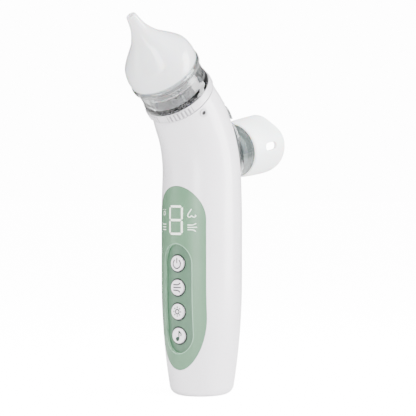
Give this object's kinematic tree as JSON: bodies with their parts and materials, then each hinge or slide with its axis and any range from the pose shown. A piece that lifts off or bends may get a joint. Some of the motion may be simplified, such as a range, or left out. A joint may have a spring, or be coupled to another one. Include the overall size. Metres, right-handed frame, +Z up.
{
  "type": "nasal aspirator",
  "caption": "Hand-held nasal aspirator with a button panel, a clear collection cup, a soft nozzle and a clip-on nebuliser with a soft mask.",
  "frame": {"origin": "centre of the flat base", "axes": "+Z up the grip, -Y out of the button panel, +Y out of the back, towards the nebuliser's mask"},
  "size_m": [0.041, 0.1148, 0.1935],
  "materials": {
    "shell_white": "moulded ABS, satin gloss",
    "panel_green": "moulded ABS, fine matt",
    "guide_white": "milky light guide",
    "module_black": "black component plastic",
    "button_white": "moulded ABS, satin",
    "silicone_grey": "soft silicone mat",
    "board_green": "glass-fibre board with solder mask",
    "screw_steel": "zinc plated steel",
    "inner_plastic": "moulded ABS, unpolished",
    "cell_wrap": "shrink film",
    "socket_steel": "drawn steel",
    "motor_steel": "drawn steel can",
    "rubber_black": "matt rubber",
    "pump_plastic": "glass-filled nylon",
    "hose_clear": "clear soft tube",
    "collar_grey": "moulded ABS, satin gloss",
    "seal_dark": "soft seal",
    "cup_clear": "clear moulded polycarbonate",
    "insert_grey": "moulded translucent plastic",
    "silicone_clear": "translucent silicone",
    "tank_white": "moulded polypropylene",
    "lid_white": "moulded polypropylene",
    "pin_steel": "ground pin",
    "plate_white": "moulded ABS, satin gloss",
    "disc_steel": "etched mesh disc",
    "silicone_white": "translucent white silicone",
    "contact_brass": "plated spring pins"
  },
  "bodies": {
    "body": {"housing": "shell_white", "rear_cover": "shell_white", "control_panel": "panel_green", "display_light_guide": "guide_white", "display_module": "module_black", "keypad_mat": "silicone_grey", "tact_switches": "module_black", "main_board": "board_green", "board_chips": "module_black", "board_screws": "screw_steel", "inner_chassis": "inner_plastic", "battery_cell": "cell_wrap", "charge_board": "board_green", "usb_socket": "socket_steel", "speaker": "module_black", "pump_motor": "motor_steel", "motor_damper": "rubber_black", "pump_housing": "pump_plastic", "pump_rocker": "pump_plastic", "pump_diaphragm": "rubber_black", "pump_valve_plate": "pump_plastic", "pump_cover": "pump_plastic", "suction_hose": "hose_clear", "cup_socket": "shell_white", "socket_seal": "rubber_black", "vent_bush": "collar_grey", "contact_pins": "contact_brass"},
    "power_key": {"button_power": "button_white"},
    "suction_key": {"button_suction": "button_white"},
    "light_key": {"button_light": "button_white"},
    "music_key": {"button_music": "button_white"},
    "crank": {"pump_eccentric": "pump_plastic"},
    "collar": {"cup_collar": "collar_grey", "cup_seal": "seal_dark"},
    "cup": {"collection_cup": "cup_clear", "cup_insert": "insert_grey"},
    "nozzle_head": {"nozzle_ring": "cup_clear", "nozzle": "silicone_clear"},
    "tank": {"medicine_cup": "tank_white", "lid_pin": "pin_steel", "outlet_plate": "plate_white", "atomizer_seal": "rubber_black", "atomizer_disc": "disc_steel"},
    "tank_lid": {"medicine_lid": "lid_white"},
    "connector": {"mask_connector": "cup_clear"},
    "mask_body": {"mask": "silicone_white"}
  },
  "joints": [
    {"name": "power_press", "type": "slide", "parent": "body", "child": "power_key", "axis": [0, 1, 0], "range_m": [0, 0.0006], "stiffness_N_per_m": 1500, "deforming": ["keypad_mat"]},
    {"name": "suction_press", "type": "slide", "parent": "body", "child": "suction_key", "axis": [0, 1, 0], "range_m": [0, 0.0006], "stiffness_N_per_m": 1500, "deforming": ["keypad_mat"]},
    {"name": "light_press", "type": "slide", "parent": "body", "child": "light_key", "axis": [0, 1, 0], "range_m": [0, 0.0006], "stiffness_N_per_m": 1500, "deforming": ["keypad_mat"]},
    {"name": "music_press", "type": "slide", "parent": "body", "child": "music_key", "axis": [0, 1, 0], "range_m": [0, 0.0006], "stiffness_N_per_m": 1500, "deforming": ["keypad_mat"]},
    {"name": "crank_spin", "type": "hinge", "parent": "body", "child": "crank", "pos_m": [0, 0.0017, 0.085], "axis": [0, 0, 1], "continuous": true},
    {"name": "collar_turn", "type": "hinge", "parent": "body", "child": "collar", "pos_m": [0, -0.0171, 0.1523], "axis": [0, -0.7071, 0.7071], "range_deg": [0, 35]},
    {"name": "cup_pull", "type": "slide", "parent": "collar", "child": "cup", "axis": [0, -0.7071, 0.7071], "range_m": [0, 0.012]},
    {"name": "nozzle_pull", "type": "slide", "parent": "cup", "child": "nozzle_head", "axis": [0, -0.7071, 0.7071], "range_m": [0, 0.012]},
    {"name": "tank_pull", "type": "slide", "parent": "body", "child": "tank", "axis": [0, 0.9833, 0.1822], "range_m": [0, 0.014]},
    {"name": "lid_hinge", "type": "hinge", "parent": "tank", "child": "tank_lid", "pos_m": [0, 0.01012, 0.15073], "axis": [1, 0, 0], "range_deg": [0, 100]},
    {"name": "connector_turn", "type": "hinge", "parent": "tank", "child": "connector", "pos_m": [0, 0.01918, 0.12538], "axis": [0, 0.9833, 0.1822], "continuous": true},
    {"name": "mask_pull", "type": "slide", "parent": "connector", "child": "mask_body", "axis": [0, 0.9833, 0.1822], "range_m": [0, 0.01]}
  ]
}
